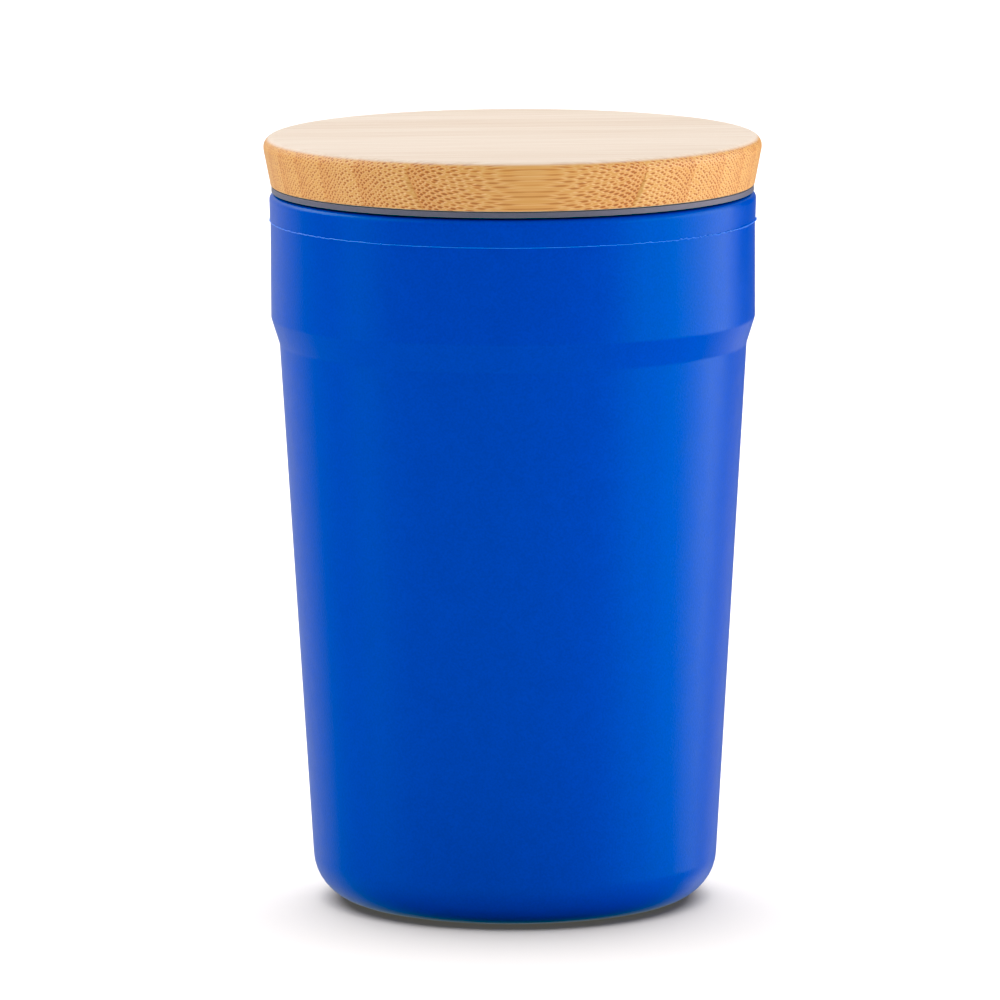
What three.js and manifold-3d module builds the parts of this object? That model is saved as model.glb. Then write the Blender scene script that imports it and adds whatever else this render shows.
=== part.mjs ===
// Paw washer cup: a welded double-wall plastic cup, a lift-out silicone brush sleeve and a plug-in
// lid with a board glued up from bamboo strips. Millimetres, +Z up, standing on z = 0.
import * as THREE from 'three';
import { mergeVertices } from 'three/addons/utils/BufferGeometryUtils.js';
import Module from 'manifold-3d';

const wasm = await Module();
wasm.setup();

// Cup, outside
const cupHeight = 121.3;          // standing surface to the top of the rim
const bandRadius = 41.12;         // wide upper band, sets every other radius
const collarProud = 0.15;         // collar over the band at the weld seam
const rimProud = 0.22;            // collar over the band at the rim
const collarDepth = 4.65;         // rim to the weld seam
const bandDepth = 21.2;           // rim to the shoulder
const shoulderDepth = 4.5;        // sloping shoulder under the band
const shoulderStep = 1.42;        // band to the body under the shoulder
const bodyTaper = 5.7;            // radius lost from there to the floor
const baseCorner = 8.1;           // rounding between the body and the base
const shellWall = 1.7;
const shellFloor = 2.2;
const footRingWidth = 5;          // flat ring that the cup stands on
const footRecess = 1;             // hollow inside that ring

// Liner
const mouthInset = 5.12;          // band to the bore that the lid plugs into
const linerWall = 1.5;
const rimThickness = 2;
const rimRound = 0.6;
const collarWall = 1.8;
const ledgeUnderShoulder = 1.5;   // ledge that the sleeve hangs on, under the shoulder's top
const ledgeWidth = 2.8;
const linerTaper = 4;             // radius lost from the ledge to the liner's floor
const linerCorner = 6;
const floorGap = 2.3;             // air between the two floors

// Brush sleeve
const sleeveGap = 0.4;            // around the sleeve and its flange
const sleeveWall = 1.6;
const sleeveFlange = 2;
const sleeveFloorGap = 23.5;      // water space under the sleeve
const bristleLength = 12;
const bristleBaseRadius = 1.6;
const bristleTipRadius = 0.8;
const bristleRows = 7;
const bristlesPerRow = 12;
const bristleMargin = 7;          // from the sleeve's ends to the nearest row

// Lid
const boardInset = 0.35;          // board's foot inside the rim
const boardFlare = 1.45;          // radius gained from foot to top
const boardThickness = 8.3;
const boardTopRound = 1.9;
const boardFootChamfer = 0.3;
const stripPitch = 6.15;
const stripOffset = -0.35;        // middle glue line from the board's centre
const thinnestStrip = 1;
const glueLine = 0.1;
const grainTurn = 3.7;            // degrees, strips against the X axis
const plugFlange = 1.1;           // the grey edge under the board
const seatGap = 0.25;             // flange over the rim
const plugDepth = 9.5;            // skirt under the flange
const plugClearance = 2.4;        // skirt to the mouth, bridged by the seal
const plugWall = 3.2;
const plugWeb = 2.4;              // disc inside the skirt
const sealGrooveDepth = 1.3;
const sealGrooveHeight = 5;
const sealGap = 0.3;              // around the seal in its groove
const lipGap = 0.35;              // lips to the mouth; soft lips really press on it
const lipThickness = 0.9;

// Screws
const screwRadius = 1.5;
const screwGap = 0.3;             // around and in front of the shank
const screwBite = 5.5;            // depth in the board
const screwHeadRadius = 2.8;
const screwHeadHeight = 1.8;
const screwInset = 6.2;           // from the inside of the plug's skirt
const crossWidth = 0.7;
const crossReach = 1.5;
const crossDepth = 0.9;

// Fineness
const turns = 60;                 // facets round each turned piece
const fineTurns = 24;             // facets round a screw
const cornerSteps = 5;

// Levels and radii that follow from the sizes above
const rimRadius = bandRadius + rimProud;
const collarFootRadius = bandRadius + collarProud;
const bodyTopRadius = bandRadius - shoulderStep;
const bodyFootRadius = bodyTopRadius - bodyTaper;
const mouthRadius = bandRadius - mouthInset;
const ledgeRadius = mouthRadius - ledgeWidth;
const linerFootRadius = ledgeRadius - linerTaper;
const seamZ = cupHeight - collarDepth;
const shoulderTopZ = cupHeight - bandDepth;
const shoulderFootZ = shoulderTopZ - shoulderDepth;
const bodySlope = (bodyTopRadius - bodyFootRadius) / shoulderFootZ;
const shellFloorZ = footRecess + shellFloor;
const linerFootZ = shellFloorZ + floorGap;
const linerFloorZ = linerFootZ + linerWall;
const ledgeZ = shoulderTopZ - ledgeUnderShoulder;
const linerSlope = (ledgeRadius - linerFootRadius) / (ledgeZ - linerFloorZ);
const sleeveFootZ = linerFloorZ + sleeveFloorGap;
const flangeFootZ = cupHeight + seatGap;
const boardFootZ = flangeFootZ + plugFlange;
const boardTopZ = boardFootZ + boardThickness;
const boardFootRadius = rimRadius - boardInset;
const boardRadius = boardFootRadius + boardFlare;
const skirtRadius = mouthRadius - plugClearance;
const skirtFootZ = flangeFootZ - plugDepth;
const webFootZ = boardFootZ - plugWeb;
const bodyRadiusAt = (z) => bodyFootRadius + bodySlope * z;
const linerRadiusAt = (z) => linerFootRadius + linerSlope * (z - linerFloorZ);

const finish = {
  blue: { color: 0x003da8, roughness: 0.42, metalness: 0 },
  grey: { color: 0x575662, roughness: 0.55, metalness: 0 },
  silicone: { color: 0xdfe3e6, roughness: 0.6, metalness: 0 },
  seal: { color: 0xc9cdd2, roughness: 0.6, metalness: 0 },
  bamboo: { color: 0xd9aa68, roughness: 0.6, metalness: 0 },
  steel: { color: 0xb9bcc0, roughness: 0.3, metalness: 1 },
};

function arc(centreR, centreZ, radius, fromDeg, toDeg, steps = cornerSteps) {
  const points = [];
  for (let i = 0; i <= steps; i += 1) {
    const angle = THREE.MathUtils.degToRad(fromDeg + ((toDeg - fromDeg) * i) / steps);
    points.push([centreR + radius * Math.cos(angle), centreZ + radius * Math.sin(angle)]);
  }
  return points;
}

// Rounding between a floor and a leaning wall that would meet it at footRadius.
function floorCorner(footRadius, slope, floorZ, radius) {
  const lean = Math.hypot(1, slope);
  const centreR = footRadius + radius * slope - radius * lean;
  const wallAngle = -THREE.MathUtils.radToDeg(Math.atan(slope));
  return arc(centreR, floorZ + radius, radius, -90, wallAngle);
}

// Drops shading data, welds shared corners and removes faces that have no area.
function closed(geometry) {
  geometry.deleteAttribute('normal');
  geometry.deleteAttribute('uv');
  const merged = mergeVertices(geometry, 1e-4);
  const index = merged.index.array;
  const kept = [];
  for (let i = 0; i < index.length; i += 3) {
    const [a, b, c] = [index[i], index[i + 1], index[i + 2]];
    if (a !== b && b !== c && c !== a) {
      kept.push(a, b, c);
    }
  }
  merged.setIndex(kept);
  return merged;
}

// A turned body from [radius, z] points, listed from the foot outside, up, and back down inside.
function turned(profile, segments = turns) {
  const points = profile.map(([radius, z]) => new THREE.Vector2(radius, z));
  return closed(new THREE.LatheGeometry(points, segments).rotateX(Math.PI / 2));
}

function ring(profile, segments = turns) {
  return turned([...profile, profile[0]], segments);
}

function solid(geometry) {
  const mesh = new wasm.Mesh({
    numProp: 3,
    vertProperties: new Float32Array(geometry.attributes.position.array),
    triVerts: new Uint32Array(geometry.index.array),
  });
  return new wasm.Manifold(mesh);
}

function geometryOf(body) {
  const mesh = body.getMesh();
  const geometry = new THREE.BufferGeometry();
  geometry.setAttribute('position', new THREE.BufferAttribute(mesh.vertProperties, 3));
  geometry.setIndex(new THREE.BufferAttribute(mesh.triVerts, 1));
  return geometry;
}

function boxSolid(width, depth, height, x, y, z) {
  const box = new THREE.BoxGeometry(width, depth, height).translate(x, y, z);
  return solid(closed(box));
}

function rodSolid(radius, fromZ, toZ, x, y) {
  const rod = new THREE.CylinderGeometry(radius, radius, toZ - fromZ, fineTurns);
  rod.rotateX(Math.PI / 2).translate(x, y, (fromZ + toZ) / 2);
  return solid(closed(rod));
}

function piece(name, geometry, look) {
  const plain = geometry.index ? geometry.toNonIndexed() : geometry;
  plain.computeVertexNormals();
  const mesh = new THREE.Mesh(plain, new THREE.MeshStandardMaterial(look));
  mesh.name = name;
  return mesh;
}

function outerShell() {
  const footRadius = bodyFootRadius - baseCorner;
  const innerLean = shellWall * Math.hypot(1, bodySlope);
  const innerFootRadius = bodyRadiusAt(shellFloorZ) - innerLean;
  return turned([
    [0, footRecess],
    [footRadius - footRingWidth - footRecess, footRecess],
    [footRadius - footRingWidth, 0],
    ...floorCorner(bodyFootRadius, bodySlope, 0, baseCorner),
    [bodyTopRadius, shoulderFootZ],
    [bandRadius, shoulderTopZ],
    [bandRadius, seamZ],
    [bandRadius - shellWall, seamZ],
    [bandRadius - shellWall, shoulderTopZ],
    [bodyTopRadius - innerLean, shoulderFootZ],
    ...floorCorner(innerFootRadius, bodySlope, shellFloorZ, baseCorner - shellWall).reverse(),
    [0, shellFloorZ],
  ]);
}

function innerLiner() {
  const outerLean = linerWall * Math.hypot(1, linerSlope);
  const rimFootZ = cupHeight - rimThickness;
  const outerRadiusAt = (z) => linerRadiusAt(z) + outerLean;
  return turned([
    [0, linerFootZ],
    ...floorCorner(outerRadiusAt(linerFootZ), linerSlope, linerFootZ, linerCorner + linerWall),
    [outerRadiusAt(ledgeZ - linerWall), ledgeZ - linerWall],
    [mouthRadius + linerWall, ledgeZ - linerWall],
    [mouthRadius + linerWall, rimFootZ],
    [collarFootRadius - collarWall, rimFootZ],
    [collarFootRadius - collarWall, seamZ],
    [collarFootRadius, seamZ],
    ...arc(rimRadius - rimRound, cupHeight - rimRound, rimRound, 0, 90, 3),
    ...arc(mouthRadius + rimRound, cupHeight - rimRound, rimRound, 90, 180, 3),
    [mouthRadius, ledgeZ],
    [ledgeRadius, ledgeZ],
    ...floorCorner(linerFootRadius, linerSlope, linerFloorZ, linerCorner).reverse(),
    [0, linerFloorZ],
  ]);
}

// One bristle on the sleeve's inner wall, pointing at the axis.
function bristle(angle, z, rootRadius) {
  const length = bristleLength + sleeveWall / 2;
  const cone = new THREE.CylinderGeometry(bristleTipRadius, bristleBaseRadius, length, 6);
  cone.rotateZ(Math.PI / 2).translate(rootRadius + sleeveWall / 2 - length / 2, 0, z);
  return solid(closed(cone.rotateZ(angle)));
}

function brushSleeve() {
  const outer = (z) => linerRadiusAt(z) - sleeveGap;
  const inner = (z) => outer(z) - sleeveWall;
  const wall = ring([
    [inner(sleeveFootZ), sleeveFootZ],
    [outer(sleeveFootZ), sleeveFootZ],
    [outer(ledgeZ), ledgeZ],
    [mouthRadius - sleeveGap, ledgeZ],
    [mouthRadius - sleeveGap, ledgeZ + sleeveFlange],
    [inner(ledgeZ), ledgeZ + sleeveFlange],
  ]);
  let sleeve = solid(wall);
  const rowPitch = (ledgeZ - sleeveFootZ - 2 * bristleMargin) / (bristleRows - 1);
  for (let row = 0; row < bristleRows; row += 1) {
    const z = sleeveFootZ + bristleMargin + row * rowPitch;
    for (let i = 0; i < bristlesPerRow; i += 1) {
      const angle = ((i + (row % 2) / 2) * 2 * Math.PI) / bristlesPerRow;
      sleeve = sleeve.add(bristle(angle, z, inner(z)));
    }
  }
  return geometryOf(sleeve);
}

// Front and back edge of every strip in the board, from the front.
function stripSpans() {
  const edges = [-boardRadius];
  const farthest = boardRadius - thinnestStrip;
  for (let i = -Math.ceil(boardRadius / stripPitch); i * stripPitch < boardRadius; i += 1) {
    const edge = stripOffset + i * stripPitch;
    if (Math.abs(edge) < farthest) {
      edges.push(edge);
    }
  }
  edges.push(boardRadius);
  return edges.slice(1).map((edge, i) => [edges[i], edge]);
}

// Four screws on one circle, each at the middle of a strip.
function screwPlaces() {
  const circle = skirtRadius - plugWall - screwInset;
  const middles = stripSpans().map(([low, high]) => (low + high) / 2);
  const nearest = (wanted) => middles.reduce((best, y) => (
    Math.abs(y - wanted) < Math.abs(best - wanted) ? y : best));
  const rows = [nearest(-circle * Math.SQRT1_2), nearest(circle * Math.SQRT1_2)];
  return rows.flatMap((y) => {
    const x = Math.sqrt(circle ** 2 - y ** 2);
    return [[-x, y], [x, y]];
  });
}

function boardBlank() {
  return turned([
    [0, boardFootZ],
    [boardFootRadius - boardFootChamfer, boardFootZ],
    [boardFootRadius, boardFootZ + boardFootChamfer],
    ...arc(boardRadius - boardTopRound, boardTopZ - boardTopRound, boardTopRound, 0, 90, 4),
    [0, boardTopZ],
  ]);
}

function lidStrip(blank, [low, high]) {
  const middle = { y: (low + high) / 2, z: (boardFootZ + boardTopZ) / 2 };
  const width = high - low - glueLine;
  const sawn = boxSolid(3 * boardRadius, width, 2 * boardThickness, 0, middle.y, middle.z);
  let strip = blank.intersect(sawn);
  for (const [x, y] of screwPlaces()) {
    if (y > low && y < high) {
      const depth = screwBite + screwGap;
      strip = strip.subtract(rodSolid(screwRadius + screwGap, boardFootZ - 1, boardFootZ + depth, x, y));
    }
  }
  return geometryOf(strip);
}

function lidPlug() {
  const grooveMiddleZ = (flangeFootZ + skirtFootZ) / 2;
  const grooveTopZ = grooveMiddleZ + sealGrooveHeight / 2;
  const grooveFootZ = grooveMiddleZ - sealGrooveHeight / 2;
  let plug = solid(turned([
    [0, webFootZ],
    [skirtRadius - plugWall, webFootZ],
    [skirtRadius - plugWall, skirtFootZ],
    [skirtRadius, skirtFootZ],
    [skirtRadius, grooveFootZ],
    [skirtRadius - sealGrooveDepth, grooveFootZ],
    [skirtRadius - sealGrooveDepth, grooveTopZ],
    [skirtRadius, grooveTopZ],
    [skirtRadius, flangeFootZ],
    [boardFootRadius, flangeFootZ],
    [boardFootRadius, boardFootZ],
    [0, boardFootZ],
  ]));
  for (const [x, y] of screwPlaces()) {
    plug = plug.subtract(rodSolid(screwRadius + screwGap, webFootZ - 1, boardFootZ + 1, x, y));
  }
  return geometryOf(plug);
}

function lidSeal() {
  const middleZ = (flangeFootZ + skirtFootZ) / 2;
  const halfHeight = sealGrooveHeight / 2 - sealGap;
  const innerRadius = skirtRadius - sealGrooveDepth + sealGap;
  const bodyRadius = skirtRadius + sealGap / 2;
  const lipRadius = mouthRadius - lipGap;
  const lip = (z) => [
    [bodyRadius, z - lipThickness / 2],
    [lipRadius, z],
    [lipRadius, z + lipThickness / 2],
    [bodyRadius, z + lipThickness / 2],
  ];
  return ring([
    [innerRadius, middleZ - halfHeight],
    [bodyRadius, middleZ - halfHeight],
    ...lip(middleZ - halfHeight / 2),
    ...lip(middleZ + halfHeight / 2),
    [bodyRadius, middleZ + halfHeight],
    [innerRadius, middleZ + halfHeight],
  ]);
}

function lidScrew() {
  const headTopZ = webFootZ - screwGap / 3;
  const headFootZ = headTopZ - screwHeadHeight;
  const tipZ = boardFootZ + screwBite;
  const domeStart = screwHeadHeight / 2;
  const body = solid(turned([
    [0, headFootZ],
    [screwHeadRadius * 0.6, headFootZ],
    [screwHeadRadius, headFootZ + domeStart],
    [screwHeadRadius, headTopZ],
    [screwRadius, headTopZ],
    [screwRadius, tipZ - screwRadius],
    [0, tipZ],
  ], fineTurns));
  const crossZ = headFootZ + crossDepth / 2 - 1;
  const bar = [2 * crossReach, crossWidth, crossDepth + 2];
  const cross = boxSolid(bar[0], bar[1], bar[2], 0, 0, crossZ)
    .add(boxSolid(bar[1], bar[0], bar[2], 0, 0, crossZ));
  return geometryOf(body.subtract(cross));
}

function lid() {
  const assembly = new THREE.Group();
  const blank = solid(boardBlank());
  stripSpans().forEach((span, i) => {
    const name = `lid_strip_${String(i + 1).padStart(2, '0')}`;
    assembly.add(piece(name, lidStrip(blank, span), finish.bamboo));
  });
  assembly.add(piece('lid_plug', lidPlug(), finish.grey));
  assembly.add(piece('lid_seal', lidSeal(), finish.seal));
  screwPlaces().forEach(([x, y], i) => {
    const screw = piece(`lid_screw_${i + 1}`, lidScrew(), finish.steel);
    screw.position.set(x, y, 0);
    assembly.add(screw);
  });
  assembly.rotation.z = THREE.MathUtils.degToRad(grainTurn);
  return assembly;
}

const group = new THREE.Group();
group.add(piece('outer_shell', outerShell(), finish.blue));
group.add(piece('inner_liner', innerLiner(), finish.blue));
group.add(piece('brush_sleeve', brushSleeve(), finish.silicone));
group.add(lid());

export default group;
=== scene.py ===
"""Paw washer cup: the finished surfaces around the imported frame.

A double-wall plastic cup with a weld seam under its rim, a silicone brush sleeve that lifts
out of it, and a plug-in lid whose board is glued up from bamboo strips. Metres, +Z up.
"""
import logging
import math
from collections.abc import Callable
from dataclasses import dataclass
from enum import Enum

import bmesh
import bpy
from mathutils import Matrix, Vector, noise


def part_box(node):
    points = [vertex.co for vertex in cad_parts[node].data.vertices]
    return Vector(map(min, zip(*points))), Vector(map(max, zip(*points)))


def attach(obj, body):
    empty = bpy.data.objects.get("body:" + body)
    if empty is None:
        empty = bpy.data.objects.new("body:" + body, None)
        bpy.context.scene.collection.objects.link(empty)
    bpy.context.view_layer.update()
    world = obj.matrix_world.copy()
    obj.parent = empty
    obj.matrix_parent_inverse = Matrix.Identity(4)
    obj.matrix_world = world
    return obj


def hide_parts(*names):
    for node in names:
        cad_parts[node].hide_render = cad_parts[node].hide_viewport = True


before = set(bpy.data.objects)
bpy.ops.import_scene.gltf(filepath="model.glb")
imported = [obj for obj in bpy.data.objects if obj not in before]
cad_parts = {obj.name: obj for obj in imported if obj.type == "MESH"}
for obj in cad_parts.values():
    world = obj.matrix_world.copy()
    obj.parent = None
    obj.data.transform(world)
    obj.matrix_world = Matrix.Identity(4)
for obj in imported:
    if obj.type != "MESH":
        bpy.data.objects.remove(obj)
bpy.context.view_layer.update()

MM = 0.001
UP = (0.0, 0.0, 1.0)
CENTRE = (0.0, 0.0, 0.0)
FULL_TURN = 2 * math.pi
SHARP_ANGLE = math.radians(35)
SAME_PLACE = 0.0005 * MM
LOG = logging.getLogger("paw_washer_cup")

Colour = tuple[float, float, float]
Corner = tuple[float, float, float]
Material = bpy.types.Material
Shape = bmesh.types.BMesh
Socket = bpy.types.NodeSocket


class Body(Enum):
    """The bodies that pieces ride on."""

    CUP = "cup"
    SLEEVE = "sleeve"
    LID = "lid"


class Slot(Enum):
    """The record's material slots."""

    SHELL = "shell_plastic"
    LINER = "liner_plastic"
    SLEEVE = "sleeve_silicone"
    BAMBOO = "lid_bamboo"
    PLUG = "plug_plastic"
    SEAL = "seal_silicone"
    SCREW = "screw_steel"


# -------- shader helpers


def _operator(operation: str, swapped: bool = False) -> Callable[..., "Value"]:
    """Makes an arithmetic method for Value.

    Args:
        operation: The Math node's operation.
        swapped: True where the value is the second operand.

    Returns:
        The method.
    """
    def method(value: "Value", other: object = 0.0) -> "Value":
        """Adds the Math node."""
        first, second = (other, value) if swapped else (value, other)
        made = value.tree.node(
            "ShaderNodeMath", {"operation": operation}, {0: first, 1: second})
        return Value(value.tree, made.outputs[0])

    return method


class Value:
    """A number socket that takes part in ordinary arithmetic."""

    def __init__(self, tree: "Tree", socket: Socket) -> None:
        """Wraps an output socket of a tree that new nodes go into."""
        self.tree = tree
        self.socket = socket

    __add__ = __radd__ = _operator("ADD")
    __sub__ = _operator("SUBTRACT")
    __rsub__ = _operator("SUBTRACT", swapped=True)
    __mul__ = __rmul__ = _operator("MULTIPLY")
    __truediv__ = _operator("DIVIDE")
    __abs__ = _operator("ABSOLUTE")
    larger = _operator("MAXIMUM")
    floor = _operator("FLOOR")
    fraction = _operator("FRACT")

    def step(self, low: float, high: float) -> "Value":
        """Goes smoothly from 0 at low to 1 at high; low may be the larger."""
        made = self.tree.node(
            "ShaderNodeMapRange", {"interpolation_type": "SMOOTHSTEP"},
            {"Value": self, "From Min": low, "From Max": high})
        return Value(self.tree, made.outputs["Result"])


class Tree:
    """The node tree of a material or of the world."""

    def __init__(self, owner: bpy.types.ID) -> None:
        """Takes over a tree and empties it.

        Args:
            owner: The new material or world.
        """
        owner.use_nodes = True
        self.owner = owner
        self.nodes = owner.node_tree.nodes
        self.links = owner.node_tree.links
        self.nodes.clear()

    def node(self, kind: str, settings: dict | None = None,
             sockets: dict | None = None) -> bpy.types.Node:
        """Adds a node.

        Args:
            kind: The node's type.
            settings: Properties to set first.
            sockets: Values or links by socket name or number.

        Returns:
            The node.
        """
        made = self.nodes.new(kind)
        for key, value in (settings or {}).items():
            setattr(made, key, value)
        for key, value in (sockets or {}).items():
            target = made.inputs[key]
            if isinstance(value, Value):
                self.links.new(value.socket, target)
            elif isinstance(value, Socket):
                self.links.new(value, target)
            else:
                target.default_value = value
        return made

    def millimetres(self, turn: float = 0.0) -> Socket:
        """Object coordinates in millimetres.

        Args:
            turn: Angle about Z by which the pattern is turned, in radians.

        Returns:
            A vector socket.
        """
        coordinates = self.node("ShaderNodeTexCoord").outputs["Object"]
        mapped = self.node(
            "ShaderNodeMapping", {"vector_type": "POINT"},
            {"Vector": coordinates, "Rotation": (0.0, 0.0, -turn), "Scale": (1 / MM,) * 3})
        return mapped.outputs[0]

    def split(self, vector: Socket) -> tuple[Value, Value, Value]:
        """The three parts of a vector."""
        parts = self.node("ShaderNodeSeparateXYZ", None, {0: vector}).outputs
        return Value(self, parts[0]), Value(self, parts[1]), Value(self, parts[2])

    def join(self, x: object, y: object, z: object) -> Socket:
        """A vector of three parts."""
        return self.node("ShaderNodeCombineXYZ", None, {0: x, 1: y, 2: z}).outputs[0]

    def cloud(self, vector: Socket, scale: float, detail: float = 2.0,
              roughness: float = 0.5) -> Value:
        """Smooth noise from 0 to 1, with scale features per unit and detail finer octaves."""
        made = self.node(
            "ShaderNodeTexNoise", None,
            {"Vector": vector, "Scale": scale, "Detail": detail, "Roughness": roughness})
        return Value(self, made.outputs["Fac"])

    def cells(self, x: object, y: object, randomness: float) -> tuple[Value, Value]:
        """Distance to the nearest point of a plane lattice, and a random number for it.

        Args:
            x: First coordinate, one point per unit.
            y: Second coordinate.
            randomness: 0 for a lattice, 1 for free points.

        Returns:
            Distance and random number.
        """
        made = self.node(
            "ShaderNodeTexVoronoi", {"voronoi_dimensions": "2D"},
            {"Vector": self.join(x, y, 0.0), "Scale": 1.0, "Randomness": randomness})
        red = self.node("ShaderNodeSeparateColor", None, {0: made.outputs["Color"]}).outputs[0]
        return Value(self, made.outputs["Distance"]), Value(self, red)

    def chance(self, number: Value) -> Value:
        """A random number from 0 to 1 for each value of number."""
        made = self.node("ShaderNodeTexWhiteNoise", {"noise_dimensions": "1D"}, {"W": number})
        return Value(self, made.outputs["Value"])

    def blend(self, factor: object, first: object, second: object) -> Socket:
        """Mixes two colours.

        Args:
            factor: 0 for the first, 1 for the second.
            first: Colour or socket.
            second: Colour or socket.

        Returns:
            The mixed colour.
        """
        if isinstance(first, tuple):
            first = (*first, 1.0)
        if isinstance(second, tuple):
            second = (*second, 1.0)
        made = self.node(
            "ShaderNodeMix", {"data_type": "RGBA"}, {0: factor, 6: first, 7: second})
        return made.outputs[2]

    def bump(self, height: Value, depth: float,
             under: Socket | None = None) -> Socket:
        """A relief for the Normal input.

        Args:
            height: Relief from 0 to 1.
            depth: Its depth in metres.
            under: A coarser relief that it lies on.

        Returns:
            The normal.
        """
        sockets = {"Height": height, "Distance": depth, "Strength": 1.0}
        if under is not None:
            sockets["Normal"] = under
        return self.node("ShaderNodeBump", None, sockets).outputs[0]

    def finish(self, **sockets: object) -> Material:
        """Ends the tree in a Principled BSDF.

        Args:
            **sockets: Its inputs, with underscores for spaces.

        Returns:
            The material.
        """
        named = {key.replace("_", " "): value for key, value in sockets.items()}
        for key, value in named.items():
            if isinstance(value, tuple) and ("Color" in key or "Tint" in key):
                named[key] = (*value, 1.0)
        shader = self.node("ShaderNodeBsdfPrincipled", None, named)
        self.node("ShaderNodeOutputMaterial", None, {0: shader.outputs[0]})
        return self.owner


# -------- finishes


def toned(colour: Colour, share: float) -> Colour:
    """A colour made darker or lighter."""
    return tuple(min(1.0, part * share) for part in colour)


@dataclass(frozen=True)
class Finish:
    """What every finish has."""

    name: str

    def tree(self) -> Tree:
        """A new material's empty tree."""
        return Tree(bpy.data.materials.new(self.name))


@dataclass(frozen=True)
class SatinPlastic(Finish):
    """Moulded plastic with a fine spark-eroded grain."""

    colour: Colour
    roughness: float = 0.42
    shade_range: float = 0.06
    mottle: float = 0.35
    grain: float = 2.6
    grain_depth: float = 0.006 * MM
    swell: float = 0.045
    swell_depth: float = 0.05 * MM
    gloss_tint: Colour = (1.0, 1.0, 1.0)
    gloss: float = 0.5

    def material(self) -> Material:
        """The finish as a material."""
        tree = self.tree()
        place = tree.millimetres()
        mottle = tree.cloud(place, self.mottle, 3.0)
        fine = tree.cloud(place, self.grain, 2.0, 0.6)
        swell = tree.cloud(place, self.swell, 1.0)
        dark = toned(self.colour, 1 - self.shade_range)
        light = toned(self.colour, 1 + self.shade_range)
        tone = (mottle * 0.2 + fine * 0.8).step(0.3, 0.7)
        return tree.finish(
            Base_Color=tree.blend(tone, dark, light),
            Roughness=self.roughness - 0.05 + 0.1 * mottle,
            Specular_Tint=self.gloss_tint,
            Specular_IOR_Level=self.gloss,
            Normal=tree.bump(fine, self.grain_depth, tree.bump(swell, self.swell_depth)))


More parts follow.
